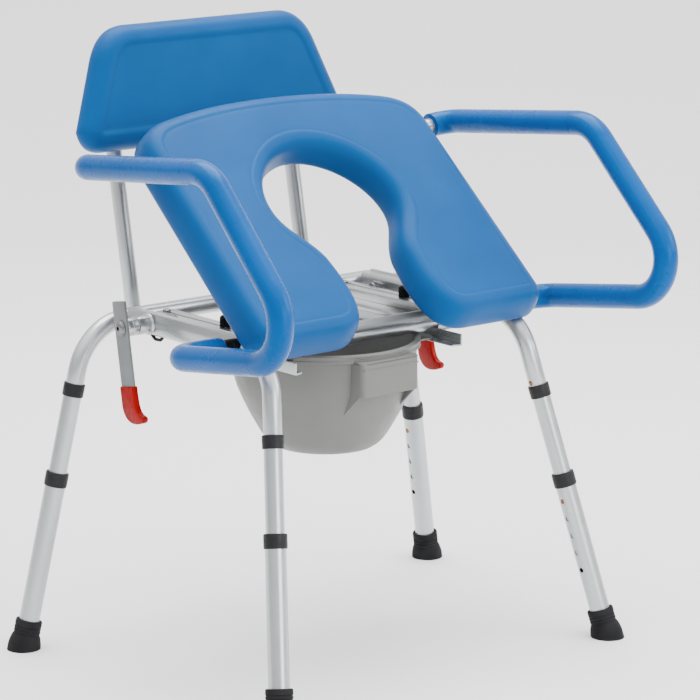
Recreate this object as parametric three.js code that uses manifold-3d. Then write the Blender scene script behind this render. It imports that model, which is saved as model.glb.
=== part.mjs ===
// Commode chair with a lifting padded seat: welded aluminium frame, adjustable legs, slide-out pail.
// Millimetres, +Z up. The chair faces -Y; left and right are as seen from the front (left = -X).
// The seat and arms are drawn raised; they turn down about the pivot axle until the pad is level,
// and the pad slides forward on its tubes as they do, which clears the backrest uprights.
import * as THREE from 'three';
import { mergeVertices } from 'three/addons/utils/BufferGeometryUtils.js';
import Module from 'manifold-3d';

const wasm = await Module();
wasm.setup();

// ---------------------------------------------------------------- driving dimensions
const GAP = 0.3;                       // clearance kept between touching pieces
const RAIL_Z = 455;                    // side rail centre above the floor
const REAR_Y = 189;                    // rear cross tube
const FRAME_R = 12.7;                  // 1 in frame tube
const FRAME_BORE = 11;
const BEND_R = 80;

const REAR_CORNER_X = 283;             // where a rear leg's line meets the cross tube
const REAR_SPLAY = [0.197, 0.073];     // outward and rearward, per mm of drop
const FRONT_CORNER = [221, -138];
const FRONT_SPLAY = [0.1655, -0.247];
const FRONT_BEND_R = 64;

const REAR_JOINT_DROP = 96;            // rail to the upper collar
const FRONT_JOINT_DROP = 111;
const COLLAR_STEP = 114;               // upper collar to lower collar, as a drop
const COLLAR_H = 20;
const SLEEVE_R = 14.3;                 // 1 1/8 in lower leg
const SLEEVE_BORE = 13;
const HOLE_PITCH = 25.4;
const HOLE_COUNT = 5;
const HOLE_R = 3.6;
const BUTTON_R = 3.1;
const FOOT_H = 42;
const FOOT_R = 23;

const OUTER_RAIL = { x: 211, w: 26, h: 30, front: -85 };
const INNER_RAIL = { x: 160.5, w: 35, top: 5, bottom: -24, front: -58 };
const FRONT_TUBE = { y: -46.5, z: -14 };
const PAIL_RAIL = { x: 148, front: -101, rear: 129, bottom: -41 };
const BUMPER_Y = 36;

const UPRIGHT = { x: 157, y: 252, r: 11, lean: 11, top: 300 };
const BACKREST = { bottom: 217, top: 391, wide: 233, thick: 34 };

const PIVOT = { y: -70, z: 458 };
const TILT = 41;                       // raised seat angle, degrees
const PAD = { front: -60, rear: 357, half: 254, bow: 19, low: 37, high: 86 };
const HOLE = { half: 104, apex: 257 }; // keyhole opening of the seat
const PAD_BEVEL = 14;
const BOARD_T = 4;
const ARM_R = 11;
const FOAM_R = 17.5;
const ARM_BEND = 58;
const ARM_TURN_IN = 32;
// corners of an arm loop in the seat's own plane: half width, along the seat, above the pivot
const ARM_LOW = [329, 0, 0];
const ARM_FRONT = [341.5, -198.7, 229.1];
const ARM_BACK = [336, 104.5, 250];
const ARM_HIGH = [327.3, 305.4, 33.6];
const CROSS = { along: 299, level: 20 };  // tube that joins the arms under the seat
const ARM_LOW_END = 251;
const ARM_HIGH_END = 226;
const FOAM_HIGH_END = 298;
const AXLE_R = 8;

const LEVER = { y: 127, z: 457, x: 268, w: 28, up: 37, down: 80, lean: 10 };
const HUB_R = 13;
const SHAFT_R = 5;

const PAIL_Y = 18;
const PAIL_WALL = 2.5;
const PAIL_RIM_R = 133;
const PAIL_RIM_TOP = -27.4;
const PAIL_RIM_T = 3.5;
const PAIL_LIP = 10.9;                 // height of the turned-down rim, which rides on the runners
const PAIL_DEPTH = 154.4;
const PAIL_HANDLE = { half: 51, front: -142, top: -36, bottom: -83.5, foot: -117 };

// ---------------------------------------------------------------- materials
const finish = (color, roughness, metalness = 0) =>
  new THREE.MeshStandardMaterial({ color, roughness, metalness });
const ALUMINIUM = finish(0xc9cccc, 0.42, 0.85);
const GREY_STEEL = finish(0x9a9ea0, 0.5, 0.6);
const BRASS = finish(0xc08a4a, 0.4, 0.8);
const BLUE_PAD = finish(0x3c86bd, 0.5);
const BLUE_FOAM = finish(0x2273bd, 0.38);
const BLACK = finish(0x3a3a3c, 0.6);
const GREY_PLASTIC = finish(0x959795, 0.5);
const RED_VINYL = finish(0xd9262e, 0.35);
const BOARD = finish(0x2b2c2e, 0.7);

// ---------------------------------------------------------------- shape helpers
const vec = (x, y, z) => new THREE.Vector3(x, y, z);
const rad = THREE.MathUtils.degToRad;
const lerp = THREE.MathUtils.lerp;

// Path of straight runs joined by arcs, with one section at each end of a run and along each arc.
class BentPath extends THREE.Curve {
  constructor(corners, radii, arcStep = 22) {
    super();
    this.points = [corners[0]];
    this.directions = [corners[1].clone().sub(corners[0]).normalize()];
    for (let i = 1; i < corners.length - 1; i++) {
      const before = corners[i].clone().sub(corners[i - 1]).normalize();
      const after = corners[i + 1].clone().sub(corners[i]).normalize();
      const turn = before.angleTo(after);
      const tangent = radii[i - 1] * Math.tan(turn / 2);
      const start = corners[i].clone().addScaledVector(before, -tangent);
      const axis = before.clone().cross(after).normalize();
      const centre = start.clone().addScaledVector(axis.clone().cross(before), radii[i - 1]);
      const steps = Math.max(2, Math.ceil(turn / rad(arcStep)));
      for (let k = 0; k <= steps; k++) {
        const angle = (turn * k) / steps;
        this.points.push(start.clone().sub(centre).applyAxisAngle(axis, angle).add(centre));
        this.directions.push(before.clone().applyAxisAngle(axis, angle));
      }
    }
    this.points.push(corners[corners.length - 1]);
    this.directions.push(this.directions[this.directions.length - 1].clone());
  }
  get steps() { return this.points.length - 1; }
  sample(list, u, target) {
    const at = Math.min(u, 1) * this.steps;
    const low = Math.min(Math.floor(at), this.steps - 1);
    return target.copy(list[low]).lerp(list[low + 1], at - low);
  }
  getPoint(u, target = new THREE.Vector3()) { return this.sample(this.points, u, target); }
  getPointAt(u, target) { return this.getPoint(u, target); }
  getTangent(u, target = new THREE.Vector3()) {
    return this.sample(this.directions, u, target).normalize();
  }
  getTangentAt(u, target) { return this.getTangent(u, target); }
}

function disc(radius, bore = 0) {
  const shape = new THREE.Shape().absarc(0, 0, radius, 0, 2 * Math.PI);
  if (bore) shape.holes.push(new THREE.Path().absarc(0, 0, bore, 0, 2 * Math.PI, true));
  return shape;
}

const sweep = (path, radius, bore, sides = 14) => new THREE.ExtrudeGeometry(disc(radius, bore),
  { steps: path.steps, curveSegments: sides / 2, bevelEnabled: false, extrudePath: path });

const slab = (shape, depth, curveSegments = 5) =>
  new THREE.ExtrudeGeometry(shape, { depth, curveSegments, bevelEnabled: false });

function outline(points) {
  return new THREE.Shape(points.map(([x, y]) => new THREE.Vector2(x, y)));
}

const lathe = (profile, sides = 14) =>
  new THREE.LatheGeometry(profile.map(([r, y]) => new THREE.Vector2(r, y)), sides);

function box(x0, x1, y0, y1, z0, z1) {
  const geometry = new THREE.BoxGeometry(x1 - x0, y1 - y0, z1 - z0);
  return geometry.translate((x0 + x1) / 2, (y0 + y1) / 2, (z0 + z1) / 2);
}

// rod from x0 to x1 along X, centred on (y, z)
function rodX(x0, x1, y, z, radius, sides = 14) {
  const geometry = new THREE.CylinderGeometry(radius, radius, Math.abs(x1 - x0), sides);
  return geometry.rotateZ(Math.PI / 2).translate((x0 + x1) / 2, y, z);
}

// turn a profile drawn in X-Z and extruded along local Z so that it runs along -Y
const alongY = (geometry) => geometry.rotateX(Math.PI / 2);

// turn a profile drawn in Y-Z and extruded along local Z so that it runs along +X
function alongX(geometry) {
  return geometry.applyMatrix4(new THREE.Matrix4().makeBasis(vec(0, 1, 0), vec(0, 0, 1), vec(1, 0, 0)));
}

function solid(geometry) {
  const bare = geometry.clone();
  bare.deleteAttribute('normal');
  bare.deleteAttribute('uv');
  const merged = mergeVertices(bare, 1e-4);
  return new wasm.Manifold(new wasm.Mesh({
    numProp: 3,
    vertProperties: Float32Array.from(merged.attributes.position.array),
    triVerts: Uint32Array.from(merged.index.array),
  }));
}

function geometryOf(manifold) {
  const mesh = manifold.getMesh();
  const geometry = new THREE.BufferGeometry();
  geometry.setAttribute('position', new THREE.BufferAttribute(mesh.vertProperties, 3));
  geometry.setIndex(new THREE.BufferAttribute(mesh.triVerts, 1));
  geometry.computeVertexNormals();
  return geometry;
}

const join = (...pieces) => geometryOf(pieces.map(solid).reduce((a, b) => a.add(b)));
const cut = (body, ...tools) => geometryOf(tools.map(solid).reduce((a, b) => a.subtract(b), solid(body)));

const chair = new THREE.Group();
function part(name, geometry, material, parent = chair) {
  const mesh = new THREE.Mesh(geometry, material.clone());
  mesh.name = name;
  parent.add(mesh);
  return mesh;
}

const SIDES = [['left', -1], ['right', 1]];

// ---------------------------------------------------------------- legs
// A leg's line: its virtual corner at rail height and the direction it runs down
function legLine(end, side) {
  const rear = end === 'rear';
  const [cx, cy] = rear ? [REAR_CORNER_X, REAR_Y] : FRONT_CORNER;
  const [sx, sy] = rear ? REAR_SPLAY : FRONT_SPLAY;
  const slope = vec(side * sx, sy, -1);
  const corner = vec(side * cx, cy, RAIL_Z);
  const stretch = slope.length();
  const down = slope.clone().normalize();
  const inward = vec(-side, 0, 0).addScaledVector(down, side * down.x).normalize();
  const placed = new THREE.Matrix4().makeBasis(inward, down, inward.clone().cross(down)).setPosition(corner);
  return { corner, down, stretch, placed, jointAt: (rear ? REAR_JOINT_DROP : FRONT_JOINT_DROP) * stretch };
}

// Leg pieces are drawn down local +Y from the virtual corner, with local +X facing the chair's middle.
const SPIGOT_LENGTH = 28;
const UPPER_BUTTON_RISE = 19;          // upper button above the joint
const LOWER_BUTTON_DROP = 35;          // lower button below the lower collar's top
const BUTTON_WELL = 0.5;               // bottom of a button's well, from the leg's axis
const BUTTON_TRAVEL = 3.5;
const POST_INSIDE = 122;               // post length hidden in the sleeve

function buttonBore(at, depthFrom, depthTo, sides = 10) {
  return rodX(depthFrom, depthTo, at, 0, HOLE_R, sides);
}

function addLeg(end, label, side) {
  const leg = legLine(end, side);
  const tag = `${end}_${label}`;
  const joint = leg.jointAt;
  const lower = joint + COLLAR_STEP * leg.stretch;
  const floor = RAIL_Z * leg.stretch;
  const postEnd = lower + POST_INSIDE;
  const upperButton = joint - UPPER_BUTTON_RISE;
  const lowerButton = lower + LOWER_BUTTON_DROP;
  const place = (mesh) => mesh.applyMatrix4(leg.placed);

  const spigotR = FRAME_BORE - 0.5;
  const post = lathe([[0, joint - SPIGOT_LENGTH], [spigotR, joint - SPIGOT_LENGTH], [spigotR, joint + GAP],
    [FRAME_R, joint + GAP], [FRAME_R, postEnd], [0, postEnd]]);
  place(part(`leg_post_${tag}`, cut(post, buttonBore(upperButton, BUTTON_WELL, FRAME_R + 2),
    buttonBore(lowerButton, BUTTON_WELL, FRAME_R + 2)), ALUMINIUM));

  const ringR = FRAME_R + 2 * GAP;
  place(part(`upper_collar_${tag}`, lathe([[ringR, joint - COLLAR_H / 2 - 4],
    [14.6, joint - COLLAR_H / 2 - 4], [14.6, joint + 4], [ringR, joint + 4], [ringR, joint - COLLAR_H / 2 - 4]]), BLACK));

  const sleeveEnd = floor - 14;
  const holes = Array.from({ length: HOLE_COUNT }, (_, i) =>
    buttonBore(lowerButton + i * HOLE_PITCH, SLEEVE_BORE - 3, SLEEVE_R + 2, 8));
  const tube = lathe([[SLEEVE_BORE, lower], [SLEEVE_R, lower], [SLEEVE_R, sleeveEnd],
    [SLEEVE_BORE, sleeveEnd], [SLEEVE_BORE, lower]]);
  place(part(`lower_leg_${tag}`, cut(tube, ...holes), ALUMINIUM));

  place(part(`lower_collar_${tag}`, lathe([[ringR, lower - 4], [16, lower - 4], [16, lower + COLLAR_H - 4],
    [SLEEVE_R + GAP, lower + COLLAR_H - 4], [SLEEVE_R + GAP, lower - GAP], [ringR, lower - GAP],
    [ringR, lower - 4]]), BLACK));

  const cupR = SLEEVE_R + GAP;
  const foot = lathe([[0, sleeveEnd + GAP], [cupR, sleeveEnd + GAP], [cupR, floor - FOOT_H],
    [18.5, floor - FOOT_H], [18.5, floor - 24], [FOOT_R, floor - 9], [FOOT_R, floor + 12], [0, floor + 12]]);
  foot.applyMatrix4(leg.placed);
  const ground = box(-600, 600, -600, 600, -80, 0);
  part(`foot_${tag}`, cut(foot, ground), BLACK);

  const base = BUTTON_WELL + BUTTON_TRAVEL + GAP;
  const button = (at, top) => lathe([[0, 0], [BUTTON_R, 0], [BUTTON_R, top - base - 1.8],
    [BUTTON_R * 0.6, top - base - 0.4], [0, top - base]], 8).rotateZ(-Math.PI / 2).translate(base, at, 0);
  place(part(`upper_button_${tag}`, button(upperButton, FRAME_R + 1.3), BRASS));
  place(part(`lower_button_${tag}`, button(lowerButton, FRAME_R - 0.3), BRASS));
}

for (const end of ['front', 'rear']) for (const [label, side] of SIDES) addLeg(end, label, side);

// ---------------------------------------------------------------- welded frame
// button hole through a frame tube's wall, above the joint
function frameButtonHole(leg) {
  return buttonBore(leg.jointAt - UPPER_BUTTON_RISE, FRAME_BORE - 3, FRAME_R + 2).applyMatrix4(leg.placed);
}

function addRearFrame() {
  const [left, right] = SIDES.map(([, side]) => legLine('rear', side));
  const foot = (leg) => leg.corner.clone().addScaledVector(leg.down, leg.jointAt - GAP);
  const path = new BentPath([foot(left), left.corner, right.corner, foot(right)], [BEND_R, BEND_R]);
  const tube = sweep(path, FRAME_R, FRAME_BORE);
  part('rear_frame_tube', cut(tube, frameButtonHole(left), frameButtonHole(right)), ALUMINIUM);
}

function addFrontLegTube(label, side) {
  const leg = legLine('front', side);
  const start = vec(side * FRONT_CORNER[0], OUTER_RAIL.front - GAP, RAIL_Z);
  const end = leg.corner.clone().addScaledVector(leg.down, leg.jointAt - GAP);
  const path = new BentPath([start, leg.corner, end], [FRONT_BEND_R]);
  part(`front_leg_tube_${label}`, cut(sweep(path, FRAME_R, FRAME_BORE), frameButtonHole(leg)), ALUMINIUM);
}

// rounded box section with a raised fin along its outer top edge
function addOuterRail(label, side) {
  const { x, w, h, front } = OUTER_RAIL;
  const c = 7;
  const outer = w / 2;
  const half = h / 2;
  const section = outline([[-outer + 3, -half], [outer - c, -half], [outer - 2, -half + c * 0.6],
    [outer, -4], [outer, 6], [outer - 2, half - 3], [outer - 4, half + 2.5], [outer - 7, half + 2.5],
    [outer - 8, half - 0.5], [-outer + 3, half - 0.5], [-outer, half - 4], [-outer, -half + 4]]
    .map(([u, v]) => [side * (x + u), RAIL_Z + v]));
  const rear = REAR_Y - FRAME_R - GAP;
  const bar = alongY(slab(section, rear - front)).translate(0, rear, 0);
  const reach = w;
  const drill = (y, z, r) => rodX(side * (x - reach), side * (x + reach), y, z, r, 18);
  const stub = rodX(side * (x + outer - 1), side * (LEVER.x - 22.3), LEVER.y, LEVER.z, HUB_R, 16);
  const welded = geometryOf(solid(bar).add(solid(stub)));
  const shaftBore = rodX(side * (x - reach), side * LEVER.x, LEVER.y, LEVER.z, SHAFT_R + 0.4, 14);
  part(`outer_rail_${label}`, cut(welded, drill(PIVOT.y, PIVOT.z, AXLE_R + 0.5), shaftBore), ALUMINIUM);
}

// wide extrusion with a long groove in its top and a shallow channel along its inner face
function addInnerRail(label, side) {
  const { x, w, top, bottom, front } = INNER_RAIL;
  const half = w / 2;
  const section = outline([[-half + 2, bottom], [half - 2, bottom], [half, bottom + 2], [half, top - 2],
    [half - 2, top], [4, top], [4, top - 3], [0, top - 3], [0, top], [-half + 2, top], [-half, top - 2],
    [-half, -8], [-half + 3, -11], [-half + 3, bottom + 7], [-half, bottom + 4], [-half, bottom + 2]]
    .map(([u, v]) => [side * (x + u), RAIL_Z + v]));
  const rear = REAR_Y - FRAME_R - GAP;
  part(`inner_rail_${label}`, alongY(slab(section, rear - front)).translate(0, rear, 0), ALUMINIUM);
}

function addFrontCrossTube() {
  const reach = INNER_RAIL.x - INNER_RAIL.w / 2 - GAP;
  const path = new THREE.LineCurve3(vec(-reach, FRONT_TUBE.y, RAIL_Z + FRONT_TUBE.z),
    vec(reach, FRONT_TUBE.y, RAIL_Z + FRONT_TUBE.z));
  part('front_cross_tube', new THREE.ExtrudeGeometry(disc(FRAME_R, FRAME_BORE),
    { steps: 1, curveSegments: 8, bevelEnabled: false, extrudePath: path }), ALUMINIUM);
}

// Z-shaped runner hung under the inner rail, longer than it at the front; the pail's wings slide on its lower flange
function addPailRail(label, side) {
  const { x, front, rear, bottom } = PAIL_RAIL;
  const t = 2.4;
  const top = INNER_RAIL.bottom - GAP;
  const strip = (points, from) => alongY(slab(outline(points
    .map(([u, v]) => [side * (x + u), RAIL_Z + v])), rear - from)).translate(0, rear, 0);
  const web = strip([[-14, bottom], [t / 2, bottom], [t / 2, top], [-t / 2, top], [-t / 2, bottom + t],
    [-14, bottom + t]], front);
  const flange = strip([[0, top - t], [24, top - t], [24, top], [0, top]], INNER_RAIL.front);
  part(`pail_rail_${label}`, join(web, flange), ALUMINIUM);
}

function addBumper(label, side) {
  const top = RAIL_Z + INNER_RAIL.top + GAP;
  const profile = [[0, 0], [8, 0], [8, 12], [6.5, 15.6], [0, 15.6]];
  const bumper = lathe(profile, 12).rotateX(Math.PI / 2).translate(side * INNER_RAIL.x, BUMPER_Y, top);
  part(`seat_bumper_${label}`, bumper, BLACK);
}

addRearFrame();
addFrontCrossTube();
for (const [label, side] of SIDES) {
  addFrontLegTube(label, side);
  addOuterRail(label, side);
  addInnerRail(label, side);
  addPailRail(label, side);
  addBumper(label, side);
}

// ---------------------------------------------------------------- backrest
const backrest = new THREE.Group();
backrest.position.set(0, UPRIGHT.y, RAIL_Z);
backrest.rotation.x = -rad(UPRIGHT.lean);
chair.add(backrest);

// upright tube with the bracket that ties its foot to the rear cross tube
function addUpright(label, side) {
  const foot = 22;
  const tube = new THREE.CylinderGeometry(UPRIGHT.r, UPRIGHT.r, UPRIGHT.top + foot, 14);
  tube.rotateX(Math.PI / 2).translate(side * UPRIGHT.x, 0, (UPRIGHT.top - foot) / 2);
  const reach = UPRIGHT.y - REAR_Y - FRAME_R - GAP;
  const bracket = box(side * UPRIGHT.x - 13, side * UPRIGHT.x + 13, -reach + 3.5, 8, -foot + 1, -foot + 15);
  part(`backrest_upright_${label}`, join(tube, bracket), ALUMINIUM, backrest);
}

function backrestShape(inset) {
  const low = BACKREST.bottom + inset;
  const high = BACKREST.top - inset;
  const w = BACKREST.wide - inset;
  const shape = new THREE.Shape().moveTo(0, low);
  shape.lineTo(w - 36, low);
  shape.quadraticCurveTo(w - 4, low, w, low + 32);
  shape.lineTo(w - 34, high - 54);
  shape.quadraticCurveTo(w - 52, high, w - 98, high);
  shape.lineTo(-w + 98, high);
  shape.quadraticCurveTo(-w + 52, high, -w + 34, high - 54);
  shape.lineTo(-w, low + 32);
  shape.quadraticCurveTo(-w + 4, low, -w + 36, low);
  return shape;
}

// drawn in X and height, extruded backwards from the front face
function addBackrestPad() {
  const boardFront = -UPRIGHT.r - GAP - BOARD_T;
  const bevel = 10;
  const pad = new THREE.ExtrudeGeometry(backrestShape(0), { depth: BACKREST.thick - 2 * bevel,
    curveSegments: 5, bevelThickness: bevel, bevelSize: bevel, bevelOffset: -bevel, bevelSegments: 2 });
  pad.rotateX(Math.PI / 2).translate(0, boardFront - GAP - bevel, 0);
  part('backrest_pad', pad, BLUE_PAD, backrest);
  const board = slab(backrestShape(16), BOARD_T).rotateX(Math.PI / 2).translate(0, boardFront + BOARD_T, 0);
  part('backrest_board', board, BOARD, backrest);
}

for (const [label, side] of SIDES) addUpright(label, side);
addBackrestPad();

// ---------------------------------------------------------------- lifting seat and arms
const seatLift = new THREE.Group();
seatLift.position.set(0, PIVOT.y, PIVOT.z);
seatLift.rotation.x = rad(TILT);
chair.add(seatLift);

// open-front seat with a keyhole opening, drawn in X and along the seat
function seatShape(inset) {
  const half = PAD.half - inset;
  const rear = PAD.rear - inset;
  const front = PAD.front + inset;
  const wide = HOLE.half + inset;
  const apex = HOLE.apex + inset;
  const right = (shape) => {
    shape.quadraticCurveTo(110, rear, 190 - inset, rear - PAD.bow);
    shape.quadraticCurveTo(half - 8, rear - PAD.bow - 12, half - 4, rear - PAD.bow - 62);
    shape.lineTo(half, front + 32);
    shape.quadraticCurveTo(half, front, half - 35, front);
    shape.lineTo(118, front);
    shape.quadraticCurveTo(78 + inset, front, 66 + inset, front + 34);
    shape.bezierCurveTo(58 + inset, -6, 58 + inset, 30, 64 + inset, 66);
    shape.bezierCurveTo(74 + inset, 105, wide, 120, wide, 158);
    shape.bezierCurveTo(wide, 212, 52, apex, 0, apex);
  };
  const traced = new THREE.Shape().moveTo(0, rear);
  right(traced);
  const points = traced.getPoints(5);
  const mirrored = points.slice(1, -1).reverse().map((p) => new THREE.Vector2(-p.x, p.y));
  return new THREE.Shape([...points, ...mirrored]);
}

function addSeatPad() {
  const pad = new THREE.ExtrudeGeometry(seatShape(0), { depth: PAD.high - PAD.low - 2 * PAD_BEVEL,
    bevelThickness: PAD_BEVEL, bevelSize: PAD_BEVEL, bevelOffset: -PAD_BEVEL, bevelSegments: 2 });
  part('seat_pad', pad.translate(0, 0, PAD.low + PAD_BEVEL), BLUE_PAD, seatLift);
  const board = slab(seatShape(30), BOARD_T).translate(0, 0, PAD.low - BOARD_T - GAP);
  part('seat_board', board, BOARD, seatLift);
}

function armPath(side, lowEnd, highEnd) {
  const at = ([x, y, z]) => vec(side * x, y, z);
  const inward = (ARM_HIGH[0] - highEnd) / (ARM_HIGH[0] - ARM_HIGH_END);
  const end = [highEnd, lerp(ARM_HIGH[1], CROSS.along, inward), lerp(ARM_HIGH[2], CROSS.level, inward)];
  const corners = [[lowEnd, 0, 0], ARM_LOW, ARM_FRONT, ARM_BACK, ARM_HIGH, end];
  return new BentPath(corners.map(at), [ARM_TURN_IN, ARM_BEND, ARM_BEND, ARM_TURN_IN], 24);
}

function addArm(label, side) {
  part(`arm_tube_${label}`, sweep(armPath(side, ARM_LOW_END, ARM_HIGH_END), ARM_R, 0, 10), ALUMINIUM, seatLift);
  part(`arm_foam_${label}`, sweep(armPath(side, ARM_LOW_END + GAP, FOAM_HIGH_END), FOAM_R, ARM_R + GAP, 10),
    BLUE_FOAM, seatLift);
  const outerFace = OUTER_RAIL.x + OUTER_RAIL.w / 2;
  const bush = cut(rodX(side * (outerFace + 2), side * (ARM_LOW_END - GAP), 0, 0, 13, 16),
    rodX(side * outerFace, side * ARM_LOW_END, 0, 0, AXLE_R + GAP, 16));
  part(`pivot_bush_${label}`, bush, BLACK, seatLift);
}

// axle through both outer rails, with the lugs that carry the seat's side tubes
const SIDE_TUBE = { r: 7, level: 25.4 };
function addSeatFrame() {
  const end = ARM_LOW_END - GAP;
  const lug = (side) => box(side * INNER_RAIL.x - 3, side * INNER_RAIL.x + 3, -8, 8, 0, SIDE_TUBE.level);
  part('pivot_axle', join(rodX(-end, end, 0, 0, AXLE_R, 16), lug(-1), lug(1)), GREY_STEEL, seatLift);

  const reach = ARM_HIGH_END - 2;      // the arm tubes end square to their own slant
  const cross = rodX(-reach, reach, CROSS.along, CROSS.level, ARM_R, 14);
  const runner = (side) => new THREE.CylinderGeometry(SIDE_TUBE.r, SIDE_TUBE.r, CROSS.along - 9, 12)
    .translate(side * INNER_RAIL.x, (CROSS.along + 9) / 2, SIDE_TUBE.level);
  part('seat_support_frame', join(cross, runner(-1), runner(1)), ALUMINIUM, seatLift);
}

addSeatPad();
addSeatFrame();
for (const [label, side] of SIDES) addArm(label, side);

// ---------------------------------------------------------------- lock levers
// bar outline in Y and Z about the shaft, before it is leant forward
function leverBar(grow) {
  const half = LEVER.w / 2 + grow;
  return outline([[-half, -LEVER.down - 24 - grow], [half, -LEVER.down - 24 - grow], [half, LEVER.up],
    [-half, LEVER.up]]);
}

function gripShape() {
  const half = LEVER.w / 2 + 1;
  const top = -LEVER.down;
  const shape = new THREE.Shape().moveTo(half, top);
  shape.lineTo(-half, top);
  shape.bezierCurveTo(-half, top - 28, -half - 2, top - 36, -half - 13, top - 40);
  shape.quadraticCurveTo(-half - 20, top - 43, -half - 14, top - 49);
  shape.bezierCurveTo(-half + 2, top - 54, half - 4, top - 54, half, top - 28);
  return shape;
}

function addLever(label, side) {
  const lean = (geometry) => geometry.rotateX(-rad(LEVER.lean));
  const plate = (shape, thick) => alongX(slab(shape, thick, 4)).translate(side * LEVER.x - thick / 2, 0, 0);
  const bar = lean(plate(leverBar(0), 4));
  const hub = rodX(side * (LEVER.x - 1), side * (LEVER.x - 22), 0, 0, HUB_R, 16);
  const camX = INNER_RAIL.x + INNER_RAIL.w / 2 + 8;
  const shaft = rodX(side * camX, side * LEVER.x, 0, 0, SHAFT_R, 12);
  const cam = box(side * camX - 3, side * camX + 3, -8, 8, -14, 8);
  const lever = part(`lever_${label}`, join(bar, hub, shaft, cam), GREY_STEEL);
  lever.position.set(0, LEVER.y, LEVER.z);
  const grip = cut(lean(plate(gripShape(), 10)), lean(plate(leverBar(GAP), 4 + 2 * GAP)));
  part(`lever_grip_${label}`, grip, RED_VINYL).position.copy(lever.position);
}

for (const [label, side] of SIDES) addLever(label, side);

// ---------------------------------------------------------------- pail
// outer wall from the bottom up: radius and height above the pail's floor
const PAIL_OUTER = [[58, 0], [76, 6], [88, 19], [107, 53], [126, 95], [128, PAIL_DEPTH - PAIL_RIM_T]];

function addPail() {
  const floor = PAIL_RIM_TOP - PAIL_DEPTH;
  const under = PAIL_RIM_TOP - PAIL_RIM_T;
  const wall = (inset) => PAIL_OUTER.map(([r, h]) => [r - inset, floor + h + inset * 0.4]);
  const inner = wall(PAIL_WALL).reverse();
  inner[0][1] = PAIL_RIM_TOP;
  const lip = PAIL_RIM_TOP - PAIL_LIP;
  const bowl = lathe([[0, floor], ...wall(0), [PAIL_RIM_R - 2.5, under], [PAIL_RIM_R - 2.5, lip],
    [PAIL_RIM_R, lip], [PAIL_RIM_R, PAIL_RIM_TOP],
    ...inner, [0, inner[inner.length - 1][1]]], 24).rotateX(Math.PI / 2);
  const { half, front, top, bottom, foot } = PAIL_HANDLE;
  // everything inside the bowl's wall, used to trim the pieces joined to it
  const core = solid(lathe([[0, floor], ...wall(1.2), [126.8, 5], [0, 5]], 24).rotateX(Math.PI / 2));
  const reach = PAIL_RAIL.x - 2.6;
  const wings = solid(box(-reach, reach, -70, 70, lip, lip + 3.5)).subtract(core);
  const t = 3;
  const cheek = (x) => alongX(slab(outline([[front, top], [front, bottom], [-100, foot], [-90, foot], [-90, top]]), t))
    .translate(x, 0, 0);
  const grip = [box(-half, half, front, front + t, bottom, top), box(-half, half, front, -100, top - t, top),
    cheek(-half), cheek(half - t)].map(solid).reduce((a, b) => a.add(b)).subtract(core);
  const pail = part('pail', geometryOf(solid(bowl).add(wings).add(grip)), GREY_PLASTIC);
  pail.position.set(0, PAIL_Y, RAIL_Z);
}

addPail();

export default chair;
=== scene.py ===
"""Looks for the commode chair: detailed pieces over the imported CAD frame, studio floor, light and camera."""
import math

import bmesh
import bpy
import numpy as np
from mathutils import Matrix, Vector, geometry, noise


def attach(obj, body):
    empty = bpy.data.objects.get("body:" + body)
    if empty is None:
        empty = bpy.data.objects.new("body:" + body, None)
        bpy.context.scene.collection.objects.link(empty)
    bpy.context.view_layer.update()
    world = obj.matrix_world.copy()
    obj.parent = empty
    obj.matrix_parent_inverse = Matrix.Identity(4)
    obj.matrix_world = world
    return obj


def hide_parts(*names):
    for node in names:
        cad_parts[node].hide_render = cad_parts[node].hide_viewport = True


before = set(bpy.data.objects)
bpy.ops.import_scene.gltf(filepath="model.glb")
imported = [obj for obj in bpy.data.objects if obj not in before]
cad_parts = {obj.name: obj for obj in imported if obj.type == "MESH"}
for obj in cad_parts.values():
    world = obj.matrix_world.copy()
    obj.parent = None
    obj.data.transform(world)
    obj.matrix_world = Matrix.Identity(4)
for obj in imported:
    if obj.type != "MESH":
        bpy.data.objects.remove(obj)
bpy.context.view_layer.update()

# ---------- dimensions of the CAD part, in millimetres
MM = 0.001
GAP = 0.3  # between solids that meet
SIDES = (("left", -1), ("right", 1))
SHARP = 32  # degrees: edges that turn more than this stay sharp

TUBE_R = 12.7
RAIL_Z = 455
REAR_Y = 189
BEND_R, FRONT_BEND_R = 80, 64
REAR_CORNER_X = 283
REAR_SPLAY = (0.197, 0.073)
FRONT_CORNER = (221, -138)
FRONT_SPLAY = (0.1655, -0.247)
OUTER_RAIL_X, INNER_RAIL_X, RUNNER_X = 211, 160.5, 148
RAIL_FRONT, INNER_RAIL_FRONT, RUNNER_FRONT = -85, -58, -101
RAIL_REAR = REAR_Y - TUBE_R - GAP
RUNNER_REAR = 129
CROSS_TUBE = (-46.5, -14)  # Y, and Z from the rails

JOINT_DROP = {"rear": 96, "front": 111}
COLLAR_STEP = 114
SLEEVE_R = 14.3
HOLES, HOLE_PITCH, HOLE_R = 5, 25.4, 3.6
UPPER_BUTTON_RISE = 19  # above the joint of frame tube and post
LOWER_BUTTON_DROP = 35  # below the top of the sleeve

PIVOT = (-70, 458)
TILT = math.radians(41)
THIN_TUBE_R, FOAM_R = 11, 17.4  # arms, uprights and seat cross tube; the foam over the arms
ARM_LOW, ARM_FRONT = (329, 0, 0), (341.5, -198.7, 229.1)
ARM_BACK, ARM_HIGH = (336, 104.5, 250), (327.3, 305.4, 33.6)
CROSS_ALONG, CROSS_LEVEL, CROSS_END = 299, 20, 226

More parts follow.
